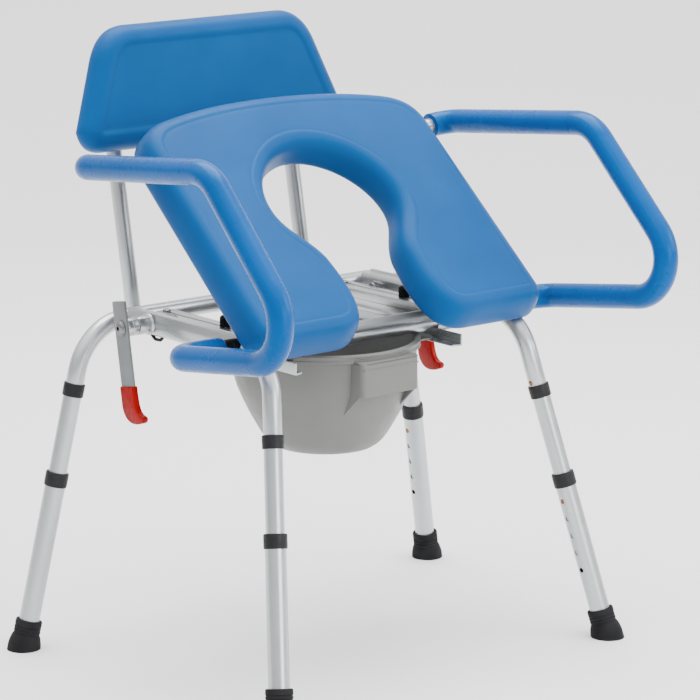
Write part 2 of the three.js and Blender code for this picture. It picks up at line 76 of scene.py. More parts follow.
LEAN = math.radians(11)
UPRIGHT_X, UPRIGHT_Y = 157, 252
LEVER_Y, LEVER_Z, LEVER_X = 127, 457, 268
LEVER_LEAN = math.radians(10)
PAIL_Y = 18
PAIL_RIM_TOP, PAIL_DEPTH, PAIL_LIP = -27.4, 154.4, 10.9

WORLD = Matrix.Identity(4)
SEAT = Matrix.Translation((0, PIVOT[0], PIVOT[1])) @ Matrix.Rotation(TILT, 4, "X")
BACK = Matrix.Translation((0, UPRIGHT_Y, RAIL_Z)) @ Matrix.Rotation(-LEAN, 4, "X")
Y_TO_Z = Matrix.Rotation(math.pi / 2, 4, "X")


def y_to_x(side=1):
    """Turns local Y to point out along X on the given side."""
    return Matrix.Rotation(-side * math.pi / 2, 4, "Z")


# ---------- materials
MIDDLE = (0.35, 0.65)  # where most of a noise texture's values lie


class Shader:
    """A Principled material with helpers for procedural colour, roughness and bump."""

    def __init__(self, name, color, roughness, metallic=0.0, specular=0.5, tint=(1, 1, 1, 1)):
        self.material = bpy.data.materials.new(name)
        self.material.use_nodes = True
        self.tree = self.material.node_tree
        self.bsdf = next(n for n in self.tree.nodes if n.type == "BSDF_PRINCIPLED")
        self.bsdf.inputs["Base Color"].default_value = color
        self.bsdf.inputs["Roughness"].default_value = roughness
        self.bsdf.inputs["Metallic"].default_value = metallic
        self.bsdf.inputs["Specular IOR Level"].default_value = specular
        self.bsdf.inputs["Specular Tint"].default_value = tint
        self.coords = self.node("ShaderNodeTexCoord").outputs["Object"]
        self.height = None

    def node(self, kind, **values):
        n = self.tree.nodes.new(kind)
        for key, value in values.items():
            if key in n.inputs:
                n.inputs[key].default_value = value
            else:
                setattr(n, key, value)
        return n

    def link(self, a, b):
        self.tree.links.new(a, b)

    def stretched(self, scale):
        mapping = self.node("ShaderNodeMapping")
        mapping.inputs["Scale"].default_value = scale
        self.link(self.coords, mapping.inputs["Vector"])
        return mapping.outputs["Vector"]

    def noise(self, scale, detail=3.0, stretch=(1, 1, 1)):
        n = self.node("ShaderNodeTexNoise", Scale=scale, Detail=detail)
        self.link(self.stretched(stretch), n.inputs["Vector"])
        return n.outputs["Fac"]

    def cells(self, scale):
        n = self.node("ShaderNodeTexVoronoi", Scale=scale)
        self.link(self.coords, n.inputs["Vector"])
        return n.outputs["Distance"]

    def ramp(self, value, low, high, at=MIDDLE):
        """The value, mapped to between low and high."""
        n = self.node("ShaderNodeMapRange")
        n.inputs["From Min"].default_value, n.inputs["From Max"].default_value = at
        n.inputs["To Min"].default_value, n.inputs["To Max"].default_value = low, high
        self.link(value, n.inputs["Value"])
        return n.outputs["Result"]

    def vary_color(self, value, low, high, at=MIDDLE):
        n = self.node("ShaderNodeMix", data_type="RGBA")
        self.link(self.ramp(value, 0.0, 1.0, at), n.inputs["Factor"])
        for socket, color in zip([i for i in n.inputs if i.type == "RGBA"], (low, high)):
            socket.default_value = color
        self.link(next(o for o in n.outputs if o.type == "RGBA"), self.bsdf.inputs["Base Color"])

    def vary_roughness(self, value, low, high, at=MIDDLE):
        self.link(self.ramp(value, low, high, at), self.bsdf.inputs["Roughness"])

    def bump(self, value, distance, strength=1.0):
        n = self.node("ShaderNodeBump", Strength=strength, Distance=distance)
        self.link(value, n.inputs["Height"])
        if self.height is not None:
            self.link(self.height, n.inputs["Normal"])
        self.height = n.outputs["Normal"]
        self.link(self.height, self.bsdf.inputs["Normal"])


def shade(color, k):
    """The colour made lighter or darker by a factor."""
    return (min(1, color[0] * k), min(1, color[1] * k), min(1, color[2] * k), 1.0)


def make_aluminium():
    c = (0.46, 0.475, 0.485, 1)
    s = Shader("anodised_aluminium", c, 0.36, metallic=0.9)
    s.vary_color(s.noise(6, 3), shade(c, 0.97), shade(c, 1.03))
    s.vary_roughness(s.noise(38, 3), 0.29, 0.34)
    s.bump(s.noise(900, 2), 0.000004, 0.5)
    return s.material


def make_rail_aluminium():
    c = (0.43, 0.445, 0.45, 1)
    s = Shader("extruded_aluminium", c, 0.36, metallic=0.88)
    drawn = s.noise(900, 3, (1, 0.006, 1))
    s.vary_color(drawn, shade(c, 0.98), shade(c, 1.02))
    s.vary_roughness(drawn, 0.27, 0.33)
    s.bump(drawn, 0.000005, 0.5)
    return s.material


def make_pad_blue():
    c = (0.006, 0.06, 0.2, 1)
    s = Shader("moulded_blue_pad", c, 0.42, specular=0.16, tint=(0.1, 0.55, 1.0, 1))
    s.vary_color(s.noise(7, 3), shade(c, 0.93), shade(c, 1.07))
    s.vary_roughness(s.noise(26, 4), 0.36, 0.46)
    s.bump(s.cells(900), 0.00009, 0.5)
    s.bump(s.noise(45, 3), 0.0003, 0.2)
    return s.material


def make_foam_blue():
    c = (0.0005, 0.06, 0.235, 1)
    s = Shader("blue_arm_foam", c, 0.3, specular=0.3, tint=(0.15, 0.6, 1.0, 1))
    s.vary_color(s.noise(9, 3), shade(c, 0.93), shade(c, 1.07))
    s.vary_roughness(s.noise(34, 4), 0.24, 0.34)
    s.bump(s.noise(700, 2), 0.00001, 0.4)
    return s.material


def make_black():
    c = (0.012, 0.012, 0.013, 1)
    s = Shader("black_moulding", c, 0.36, specular=0.18)
    s.vary_color(s.noise(90, 3), shade(c, 0.85), shade(c, 1.2))
    s.vary_roughness(s.noise(160, 4), 0.36, 0.52)
    s.bump(s.noise(700, 2), 0.00008, 0.4)
    return s.material


def make_rubber():
    c = (0.01, 0.01, 0.011, 1)
    s = Shader("black_rubber", c, 0.62, specular=0.12)
    s.vary_color(s.noise(60, 4), shade(c, 0.8), shade(c, 1.35))
    s.vary_roughness(s.noise(120, 4), 0.62, 0.82)
    s.bump(s.noise(500, 3), 0.00015, 0.6)
    return s.material


def make_pail_grey():
    c = (0.135, 0.135, 0.13, 1)
    s = Shader("grey_polypropylene", c, 0.36, specular=0.35)
    s.vary_color(s.noise(11, 4), shade(c, 0.95), shade(c, 1.05))
    s.vary_roughness(s.noise(40, 4), 0.36, 0.5)
    s.bump(s.noise(260, 3), 0.00012, 0.35)
    return s.material


def make_lever_grey():
    c = (0.155, 0.165, 0.17, 1)
    s = Shader("grey_enamel", c, 0.38, metallic=0.3)
    s.vary_color(s.noise(30, 4), shade(c, 0.92), shade(c, 1.06))
    s.vary_roughness(s.noise(120, 4), 0.32, 0.46)
    s.bump(s.noise(520, 3), 0.00006, 0.5)
    return s.material


def make_red():
    c = (0.24, 0.0, 0.001, 1)
    s = Shader("red_dipped_vinyl", c, 0.24, specular=0.3, tint=(1.0, 0.2, 0.15, 1))
    s.vary_color(s.noise(40, 3), shade(c, 0.9), shade(c, 1.08))
    s.vary_roughness(s.noise(60, 3), 0.2, 0.3)
    s.bump(s.noise(90, 2), 0.0004, 0.3)
    return s.material


def make_brass():
    c = (0.3, 0.13, 0.04, 1)
    s = Shader("dull_brass", c, 0.36, metallic=0.9)
    s.vary_color(s.noise(300, 3), shade(c, 0.85), shade(c, 1.1))
    s.vary_roughness(s.noise(400, 3), 0.28, 0.46)
    return s.material


def make_board():
    c = (0.011, 0.0115, 0.0125, 1)
    s = Shader("black_stained_board", c, 0.7, specular=0.12)
    grain = s.noise(60, 5, (0.2, 3, 1))
    s.vary_color(grain, shade(c, 0.75), shade(c, 1.3))
    s.vary_roughness(grain, 0.62, 0.8)
    s.bump(grain, 0.0002, 0.4)
    return s.material


def make_bolt_steel():
    c = (0.2, 0.2, 0.205, 1)
    s = Shader("zinc_steel", c, 0.25, metallic=0.95)
    s.vary_color(s.cells(260), shade(c, 0.86), shade(c, 1.05), (0.1, 0.8))
    s.vary_roughness(s.noise(300, 3), 0.26, 0.42)
    return s.material


ALUMINIUM, RAIL_ALUMINIUM = make_aluminium(), make_rail_aluminium()
PAD_BLUE, FOAM_BLUE, BLACK, RUBBER = make_pad_blue(), make_foam_blue(), make_black(), make_rubber()
PAIL_GREY, LEVER_GREY, RED, BRASS = make_pail_grey(), make_lever_grey(), make_red(), make_brass()
BOARD, BOLT_STEEL = make_board(), make_bolt_steel()


# ---------- mesh helpers
def add_object(name, data):
    obj = bpy.data.objects.new(name, data)
    bpy.context.scene.collection.objects.link(obj)
    return obj


def closed_mesh(name, points, faces, weld=False):
    """A mesh in metres from points in millimetres, with its faces turned outwards."""
    mesh = bpy.data.meshes.new(name)
    mesh.from_pydata([p * MM for p in points], [], [tuple(f) for f in faces])
    bm = bmesh.new()
    bm.from_mesh(mesh)
    if weld:
        bmesh.ops.remove_doubles(bm, verts=bm.verts, dist=1e-6)
    bmesh.ops.recalc_face_normals(bm, faces=bm.faces)
    bm.to_mesh(mesh)
    bm.free()
    return mesh


def piece(name, mesh_data, body, material, replaces=(), place=WORLD, sharp=SHARP):
    """Vertices in millimetres in a local frame, made into an object that rides on a CAD body."""
    mesh = closed_mesh(name, [place @ Vector(v) for v in mesh_data[0]], mesh_data[1], True)
    finish_mesh(mesh, material, sharp)
    obj = add_object(name, mesh)
    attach(obj, body)
    if replaces:
        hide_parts(*replaces)
    return obj


def finish_mesh(mesh, material, sharp):
    mesh.validate()
    mesh.materials.clear()
    mesh.materials.append(material)
    mesh.shade_smooth()
    mesh.set_sharp_from_angle(angle=math.radians(sharp))


def merged(*parts):
    verts, faces = [], []
    for v, f in parts:
        base = len(verts)
        verts.extend(v)
        faces.extend([[i + base for i in face] for face in f])
    return verts, faces


def moved(data, matrix):
    return [tuple(matrix @ Vector(v)) for v in data[0]], data[1]


def bent(corners, radii, step=5):
    """Points and directions along straight runs joined by arcs."""
    corners = [Vector(c) for c in corners]
    points, along = [corners[0]], [(corners[1] - corners[0]).normalized()]
    for i in range(1, len(corners) - 1):
        before = (corners[i] - corners[i - 1]).normalized()
        after = (corners[i + 1] - corners[i]).normalized()
        turn = before.angle(after)
        r = radii[i - 1]
        start = corners[i] - before * (r * math.tan(turn / 2))
        axis = before.cross(after).normalized()
        centre = start + axis.cross(before) * r
        n = max(3, math.ceil(math.degrees(turn) / step))
        for k in range(n + 1):
            q = Matrix.Rotation(turn * k / n, 3, axis)
            points.append(q @ (start - centre) + centre)
            along.append(q @ before)
    points.append(corners[-1])
    along.append(along[-1].copy())
    return points, along


def densify(points, along, most):
    """Extra stations along long straight runs."""
    out_p, out_a = [points[0]], [along[0]]
    for i in range(1, len(points)):
        gap = (points[i] - points[i - 1]).length
        n = max(1, math.ceil(gap / most))
        for k in range(1, n + 1):
            out_p.append(points[i - 1].lerp(points[i], k / n))
            out_a.append(along[i - 1].lerp(along[i], k / n).normalized())
    return out_p, out_a


def sweep(points, along, radius, sides=40, edge=0.8, profile=None):
    """A closed tube along a path, with eased ends. profile(angle, station) may change its radius."""
    side = along[0].orthogonal().normalized()
    rings, verts, faces = [], [], []
    length = len(points)
    for i in range(length):
        if i:
            turn = along[i - 1].rotation_difference(along[i])
            side = (turn @ side).normalized()
        t = along[i]
        side = (side - t * side.dot(t)).normalized()
        up = t.cross(side)
        stations = [(points[i], 0)]
        if edge and i == 0:
            stations = [(points[0], edge), (points[0] + t * edge * 0.3, edge * 0.3),
                        (points[0] + t * edge, 0)]
        if edge and i == length - 1:
            stations = [(points[i] - t * edge, 0), (points[i] - t * edge * 0.3, edge * 0.3),
                        (points[i], edge)]
        for p, inset in stations:
            ring = []
            for k in range(sides):
                a = 2 * math.pi * k / sides
                r = radius - inset + (profile(a, i / (length - 1)) if profile else 0)
                ring.append(len(verts))
                verts.append(tuple(p + (side * math.cos(a) + up * math.sin(a)) * r))
            rings.append(ring)
    for a, b in zip(rings, rings[1:]):
        for k in range(sides):
            faces.append([a[k], a[(k + 1) % sides], b[(k + 1) % sides], b[k]])
    faces.append(list(reversed(rings[0])))
    faces.append(list(rings[-1]))
    return verts, faces


def lathe(profile, sides=48, around=None):
    """A closed solid of revolution about local Y. profile is (radius, height) pairs: it starts and ends on the
    axis, or it closes on itself. around(angle, radius, height) may change a point."""
    verts, faces, rings = [], [], []
    for r, y in profile:
        if r < 1e-6:
            rings.append([len(verts)])
            verts.append((0, y, 0))
        else:
            rings.append(list(range(len(verts), len(verts) + sides)))
            for k in range(sides):
                a = 2 * math.pi * k / sides
                rr, yy = around(a, r, y) if around else (r, y)
                verts.append((rr * math.sin(a), yy, rr * math.cos(a)))
    pairs = list(zip(rings, rings[1:]))
    if profile[0][0] > 1e-6:
        pairs.append((rings[-1], rings[0]))
    for a, b in pairs:
        for k in range(sides):
            j = (k + 1) % sides
            if len(a) == 1 and len(b) == 1:
                continue
            if len(a) == 1:
                faces.append([a[0], b[j], b[k]])
            elif len(b) == 1:
                faces.append([a[k], a[j], b[0]])
            else:
                faces.append([a[k], a[j], b[j], b[k]])
    return verts, faces


def corner(a, q, b, steps):
    """Points from a to b on a curve that stays inside the corner at q."""
    out = []
    for k in range(steps + 1):
        t = k / steps
        out.append(tuple((1 - t) ** 2 * a + 2 * t * (1 - t) * q + t ** 2 * b))
    return out


def eased(profile, radius, steps=4):
    """The same (radius, height) profile with each inner corner rounded."""
    out = [profile[0]]
    for i in range(1, len(profile) - 1):
        p, q, n = (Vector(profile[i - 1]), Vector(profile[i]), Vector(profile[i + 1]))
        a, b = (p - q), (n - q)
        cut = min(radius, a.length * 0.45, b.length * 0.45)
        out += corner(q + a.normalized() * cut, q, q + b.normalized() * cut, steps)
    out.append(profile[-1])
    return out


def rounded(points, radius, steps=4):
    """A closed outline with rounded corners. radius is one number or one for each corner."""
    out, n = [], len(points)
    for i in range(n):
        p, q, r = Vector(points[i - 1]), Vector(points[i]), Vector(points[(i + 1) % n])
        a, b = p - q, r - q
        want = radius[i] if isinstance(radius, (list, tuple)) else radius
        cut = min(want, a.length * 0.48, b.length * 0.48)
        if cut < 0.05:
            out.append(tuple(q))
            continue
        out += corner(q + a.normalized() * cut, q, q + b.normalized() * cut, steps)
    return out


def inset(points, distance):
    """A closed outline moved inwards (counter-clockwise outlines)."""
    n, out = len(points), []
    for i in range(n):
        p, q, r = Vector(points[i - 1]), Vector(points[i]), Vector(points[(i + 1) % n])
        e = (q - p).normalized() + (r - q).normalized()
        e = e.normalized() if e.length > 1e-9 else (r - q).normalized()
        normal = Vector((-e.y, e.x))
        bend = max(0.5, abs(normal.dot(Vector((-(r - q).normalized().y, (r - q).normalized().x)))))
        out.append(tuple(q + normal * (distance / bend)))
    return out


def walls(rings, n):
    """Quads between rings that follow one another, each of n points."""
    return [[k * n + i, k * n + (i + 1) % n, (k + 1) * n + (i + 1) % n, (k + 1) * n + i]
            for k in range(rings - 1) for i in range(n)]


def counter_clockwise(points):
    area = sum(points[i - 1][0] * p[1] - p[0] * points[i - 1][1] for i, p in enumerate(points))
    return points if area > 0 else list(reversed(points))


def prism(outline, z0, z1, edge=0.8, steps=3):
    """An outline extruded along local Z with eased rims."""
    outline = counter_clockwise(outline)
    n = len(outline)
    levels = []
    for k in range(steps + 1):
        a = math.pi / 2 * k / steps
        levels.append((edge * (1 - math.sin(a)), z0 + edge * (1 - math.cos(a))))
    for k in range(steps + 1):
        a = math.pi / 2 * (1 - k / steps)
        levels.append((edge * (1 - math.sin(a)), z1 - edge * (1 - math.cos(a))))
    if edge == 0:
        levels = [(0, z0), (0, z1)]
    verts, faces = [], walls(len(levels), n)
    for d, z in levels:
        ring = inset(outline, d) if d > 1e-9 else outline
        verts.extend((x, y, z) for x, y in ring)
    faces.append(list(range(n - 1, -1, -1)))
    faces.append([(len(levels) - 1) * n + i for i in range(n)])
    return verts, faces


def rod(x0, x1, y, z, radius, edge=0.8, sides=40):
    """A round bar along X with eased ends."""
    lo, hi = min(x0, x1), max(x0, x1)
    profile = [(0, lo), (radius - edge, lo), (radius - edge * 0.3, lo + edge * 0.3), (radius, lo + edge),
               (radius, hi - edge), (radius - edge * 0.3, hi - edge * 0.3), (radius - edge, hi), (0, hi)]
    return moved(lathe(profile, sides), Matrix.Translation((0, y, z)) @ y_to_x())


def hexagon(r):
    return [(r * math.cos(math.pi / 3 * k), r * math.sin(math.pi / 3 * k)) for k in range(6)]


def hex_bolt(x0, outward, y, z, across, height, washer):
    """A hex head and washer whose axis runs along X."""
    head = prism(rounded(hexagon(across / math.sqrt(3)), 0.6, 2), 1.3, 1.4 + height, 0.7)
    turn = Matrix.Translation((x0, y, z)) @ Matrix.Rotation(outward * math.pi / 2, 4, "Y")
    return moved(merged(lathe_z([(washer / 2, 0), (washer / 2, 1.4)]), head), turn)


def lathe_z(profile, sides=40):
    """A disc-like solid about local Z, from (radius, z) pairs."""
    full = [(0, profile[0][1])] + eased_ends(profile) + [(0, profile[-1][1])]
    return moved(lathe(full, sides), Y_TO_Z)


def eased_ends(profile, e=0.35):
    """The (radius, z) profile of a disc with its two rims cut back."""
    (r0, z0), (r1, z1) = profile[0], profile[-1]
    return [(r0 - e, z0), (r0, z0 + e), *profile[1:-1], (r1, z1 - e), (r1 - e, z1)]


def subtract(obj, tool_data):
    """Cuts a closed mesh, in millimetres, out of an object and applies the result."""
    mesh = closed_mesh("tool", [Vector(v) for v in tool_data[0]], tool_data[1])
    tool = add_object("tool", mesh)
    modifier = obj.modifiers.new("cut", "BOOLEAN")
    modifier.object = tool
    modifier.operation = "DIFFERENCE"
    modifier.solver = "EXACT"
    bpy.context.view_layer.update()
    result = bpy.data.meshes.new_from_object(obj.evaluated_get(bpy.context.evaluated_depsgraph_get()))
    obj.modifiers.clear()
    material, old = obj.data.materials[0], obj.data
    obj.data = result
    finish_mesh(result, material, SHARP)
    bpy.data.meshes.remove(old)
    bpy.data.objects.remove(tool)
    bpy.data.meshes.remove(mesh)


def along_y(outline, y0, y1, edge=0.6):
    """An outline in X and Z, extruded along Y."""
    verts, faces = prism([(x, z) for x, z in outline], -y1, -y0, edge)
    return [(x, -z, y) for x, y, z in verts], faces


# ---------- legs
def leg_line(end, side):
    """A leg's upper corner, its direction down, its length for each millimetre of height, and its placing
    matrix, whose local Y runs down the leg from the corner."""
    cx, cy = (REAR_CORNER_X, REAR_Y) if end == "rear" else FRONT_CORNER
    sx, sy = REAR_SPLAY if end == "rear" else FRONT_SPLAY
    slope = Vector((side * sx, sy, -1))
    down = slope.normalized()
    inward = (Vector((-side, 0, 0)) + down * (side * down.x)).normalized()
    corner = Vector((side * cx, cy, RAIL_Z))
    place = Matrix((inward, down, inward.cross(down))).transposed().to_4x4()
    return corner, down, slope.length, Matrix.Translation(corner) @ place


def drill(place, at, start):
    """A cutter for a button hole, at a distance along a leg, from a radius out through the tube's wall."""
    bit = lathe([(0, start), (HOLE_R, start), (HOLE_R, 18), (0, 18)], 24)
    return moved(bit, place @ Matrix.Translation((0, at, 0)) @ y_to_x())


def add_leg(end, label, side):
    corner, down, stretch, place = leg_line(end, side)
    tag = f"{end}_{label}"
    joint = JOINT_DROP[end] * stretch
    lower = joint + COLLAR_STEP * stretch
    floor = RAIL_Z * stretch
    upper_button = joint - UPPER_BUTTON_RISE
    lower_button = lower + LOWER_BUTTON_DROP
    body = f"leg_{tag}"

    post = [(0, joint - 26), (10.4, joint - 26), (10.4, joint + 0.4), (TUBE_R, joint + 0.6),
            (TUBE_R, lower + 121), (0, lower + 121)]
    piece(f"post_{tag}", lathe(post), "frame", ALUMINIUM, [f"leg_post_{tag}"], place)

    ring = eased([(TUBE_R + 0.35, joint - 14), (14.9, joint - 14), (14.9, joint - 4), (14.75, joint - 3.4),
                  (14.75, joint + 4), (TUBE_R + 0.35, joint + 4)], 0.9)
    piece(f"collar_upper_{tag}", lathe(ring), "frame", BLACK,
          [f"upper_collar_{tag}"], place)

    sleeve = [(13, lower), (SLEEVE_R - 0.5, lower), (SLEEVE_R, lower + 0.6), (SLEEVE_R, floor - 14),
              (13, floor - 14)]
    tube = piece(f"sleeve_{tag}", lathe(sleeve, 64), body, ALUMINIUM, [f"lower_leg_{tag}"], place)
    subtract(tube, merged(*[drill(place, lower_button + i * HOLE_PITCH, 9) for i in range(HOLES)]))

    cap = eased([(TUBE_R + 0.4, lower - 4), (15.6, lower - 4), (16.1, lower - 2), (16.1, lower + 14),
                 (15.5, lower + 16), (SLEEVE_R + 0.3, lower + 16), (SLEEVE_R + 0.3, lower - 0.3),
                 (TUBE_R + 0.4, lower - 0.3)], 0.8)
    piece(f"collar_lower_{tag}", lathe(cap), body, BLACK, [f"lower_collar_{tag}"], place)

    cup = SLEEVE_R + 0.3
    ribs = []
    for i in range(3):
        y = floor - 37 + i * 5
        ribs += [(18.6, y), (18.6, y + 3), (17.6, y + 3.6), (17.6, y + 4.4)]
    foot = [(0, floor - 13.6), (cup, floor - 13.6), (cup, floor - 42), (17.6, floor - 42), (18.5, floor - 41),
            *ribs, (18.8, floor - 21), (20.6, floor - 17), (22.6, floor - 9), (23, floor - 5), (23, floor + 12),
            (0, floor + 12)]
    data = moved(lathe(eased(foot, 0.7, 2)), place)
    rubber = piece(f"ferrule_{tag}", data, body, RUBBER, [f"foot_{tag}"])
    bm = bmesh.new()
    bm.from_mesh(rubber.data)
    cut = bmesh.ops.bisect_plane(bm, geom=bm.verts[:] + bm.edges[:] + bm.faces[:], plane_co=(0, 0, 0),
                                 plane_no=(0, 0, -1), clear_outer=True)
    rim = [e for e in cut["geom_cut"] if isinstance(e, bmesh.types.BMEdge)]
    bmesh.ops.edgeloop_fill(bm, edges=rim)
    bmesh.ops.recalc_face_normals(bm, faces=bm.faces)
    bm.to_mesh(rubber.data)
    bm.free()
    finish_mesh(rubber.data, RUBBER, SHARP)

    top = TUBE_R + 1.4
    dome = [(0, 4.3), (3.1, 4.3), (3.1, top - 1.6), (2.9, top - 1.0), (2.3, top - 0.45), (1.3, top - 0.1), (0, top)]
    for kind, at in (("upper", upper_button), ("lower", lower_button)):
        turn = place @ Matrix.Translation((0, at, 0)) @ y_to_x()
        piece(f"button_{kind}_{tag}", lathe(dome, 24), f"{kind}_button_{tag}", BRASS,
              [f"{kind}_button_{tag}"], turn)


for end in ("front", "rear"):
    for label, side in SIDES:
        add_leg(end, label, side)


# ---------- frame tubes and rails
def add_frame_tubes():
    left, right = leg_line("rear", -1), leg_line("rear", 1)
    joint = JOINT_DROP["rear"] * left[2]
    ends = [leg[0] + leg[1] * (joint - GAP) for leg in (left, right)]
    path = bent([ends[0], left[0], right[0], ends[1]], [BEND_R, BEND_R])
    tube = piece("tube_rear_frame", sweep(*densify(*path, 60), TUBE_R), "frame", ALUMINIUM,
                 ["rear_frame_tube"])
    for leg in (left, right):
        subtract(tube, drill(leg[3], joint - UPPER_BUTTON_RISE, 8))
    for label, side in SIDES:
        leg = leg_line("front", side)
        joint = JOINT_DROP["front"] * leg[2]
        start = (side * FRONT_CORNER[0], RAIL_FRONT - GAP, RAIL_Z)
        path = bent([start, leg[0], leg[0] + leg[1] * (joint - GAP)], [FRONT_BEND_R])
        tube = piece(f"tube_front_leg_{label}", sweep(*path, TUBE_R), "frame", ALUMINIUM,
                     [f"front_leg_tube_{label}"])
        subtract(tube, drill(leg[3], joint - UPPER_BUTTON_RISE, 8))


def add_outer_rail(label, side):
    section = [(-10, -15), (6, -15), (11, -11), (13, -4), (13, 6), (11.4, 12.5), (10.6, 17.2), (8.2, 17.6), (6, 17),
               (5, 14.6), (-9, 14.6), (-13, 11), (-13, -11)]
    radii = [3, 5, 5, 5, 5, 2, 1.6, 1.6, 1.5, 1.5, 4, 4, 4]
    outline = [(side * (OUTER_RAIL_X + u), RAIL_Z + v) for u, v in rounded(section, radii)]
    bar = along_y(outline, RAIL_FRONT, RAIL_REAR, 0.5)
    hub = rod(side * 222, side * 245.6, LEVER_Y, LEVER_Z, 13, 1.2, 48)
    bead = [(12, 223.2), (13.2, 223.4), (15.4, 224.2), (14.6, 226), (13.0, 227.4), (12, 227.6)]
    weld = moved(lathe(bead, 48, lambda a, r, y: (r + 0.35 * math.sin(17 * a) * (r > 13.1), y)),
                 Matrix.Translation((0, LEVER_Y, LEVER_Z)) @ y_to_x(side))
    piece(f"rail_outer_{label}", merged(bar, hub), "frame", RAIL_ALUMINIUM, [f"outer_rail_{label}"])
    piece(f"weld_hub_{label}", weld, "frame", ALUMINIUM)


def add_inner_rail(label, side):
    section = [(-17.5, -24), (17.5, -24), (17.5, 5), (4.6, 5), (4.2, 2.2), (-0.2, 2.2), (-0.6, 5), (-17.5, 5),
               (-17.5, -7.4), (-15, -9), (-15, -17), (-17.5, -18.6)]
    radii = [2, 2.4, 2.4, 0.8, 0.8, 0.8, 0.8, 2.4, 0.8, 1.2, 1.2, 0.8]
    outline = [(side * (INNER_RAIL_X + u), RAIL_Z + v) for u, v in rounded(section, radii)]
    bar = along_y(outline, INNER_RAIL_FRONT, RAIL_REAR, 0.5)
    piece(f"rail_inner_{label}", bar, "frame", RAIL_ALUMINIUM, [f"inner_rail_{label}"])


def add_pail_rail(label, side):
    """A Z-shaped runner: the pail's wing slides on its lower flange, and the upper one hangs from the rail."""
    t = 2.4
    top, bottom = -24.3, -41
    lower_reach, corner = 14, 9

    def strip(section, radii, front):
        outline = [(side * (RUNNER_X + u), RAIL_Z + v) for u, v in rounded(section, radii, 3)]
        return along_y(outline, front, RUNNER_REAR, 0.4)
    bar = strip([(-lower_reach, bottom), (t / 2, bottom), (t / 2, top), (-t / 2, top), (-t / 2, bottom + t),
                 (-lower_reach, bottom + t)], [1.1, 1.6, 0.8, 0.8, 0.6, 1.1], RUNNER_FRONT)
    flange = strip([(0.2, top - t), (24, top - t), (24, top), (0.2, top)], [0, 0.8, 0.8, 0], INNER_RAIL_FRONT)
    # the front end of the lower flange is rounded off in plan
    verts = []
    for x, y, z in bar[0]:
        reach = abs(x) - (RUNNER_X - lower_reach)
        if y < RUNNER_FRONT + corner and z < RAIL_Z + bottom + t + 0.2 and reach < corner:
            y += (corner - reach) ** 2 / (2 * corner)
        verts.append((x, y, z))
    piece(f"runner_{label}", merged((verts, bar[1]), flange), "frame", RAIL_ALUMINIUM,
          [f"pail_rail_{label}"])


def add_front_cross_tube():
    """A round tube whose ends are pressed flatter where they meet the inner rails."""
    half = 142.7
    stations = []
    for x in np.concatenate([np.linspace(-half, -half + 22, 8), np.linspace(-half + 30, half - 30, 9),
                             np.linspace(half - 22, half, 8)]):
        edge = half - abs(x)
        flat = min(1.0, max(0.0, (edge - 2) / 20))
        flat = flat * flat * (3 - 2 * flat)
        stations.append((x, TUBE_R * (0.86 + 0.14 * flat), TUBE_R * (0.62 + 0.38 * flat)))
    verts, sides = [], 40
    for x, a, b in stations:
        for k in range(sides):
            t = 2 * math.pi * k / sides
            verts.append((x, CROSS_TUBE[0] + a * math.cos(t), RAIL_Z + CROSS_TUBE[1] + b * math.sin(t)))
    faces = walls(len(stations), sides)
    faces.append(list(range(sides - 1, -1, -1)))
    faces.append([(len(stations) - 1) * sides + k for k in range(sides)])
    piece("tube_front_cross", (verts, faces), "frame", ALUMINIUM, ["front_cross_tube"])


def add_bumper(label, side):
    profile = [(0, 0), (8, 0), (8, 3), (7.4, 3.6), (7.4, 4.4), (8, 5), (8, 11.5), (7.2, 14), (5.2, 15.4), (0, 15.6)]
    place = Matrix.Translation((side * INNER_RAIL_X, 36, RAIL_Z + 5.3)) @ Y_TO_Z
    piece(f"bumper_{label}", lathe(eased(profile, 0.6, 3)), "frame", RUBBER,
          [f"seat_bumper_{label}"], place)


def add_rail_fixings(label, side):
    """A screw head at the inner rail's rear end and the dark catch of the lock under the outer rail."""
    head = lathe([(0, 0), (5.6, 0), (5.8, 0.3), (5.6, 1.8), (4.2, 3.0), (1.8, 3.6), (0, 3.7)], 28)
    stand = Matrix.Translation((side * INNER_RAIL_X, 168, RAIL_Z + 5.1)) @ Y_TO_Z
    piece(f"rail_screw_{label}", moved(head, stand), "frame", BOLT_STEEL)
    catch = bent([(0, -15, -18), (0, -9, -24), (0, 3, -24.5), (0, 12, -18)], [6, 6], 10)
    strip = sweep([Vector(p) for p in catch[0]], catch[1], 2.4, 16, 0.5)
    piece(f"lock_catch_{label}", moved(strip, Matrix.Translation((side * 216, 118, RAIL_Z + 5))), "frame", BLACK)


add_frame_tubes()
add_front_cross_tube()
for label, side in SIDES:
    add_outer_rail(label, side)
    add_inner_rail(label, side)
    add_pail_rail(label, side)
    add_bumper(label, side)
    add_rail_fixings(label, side)


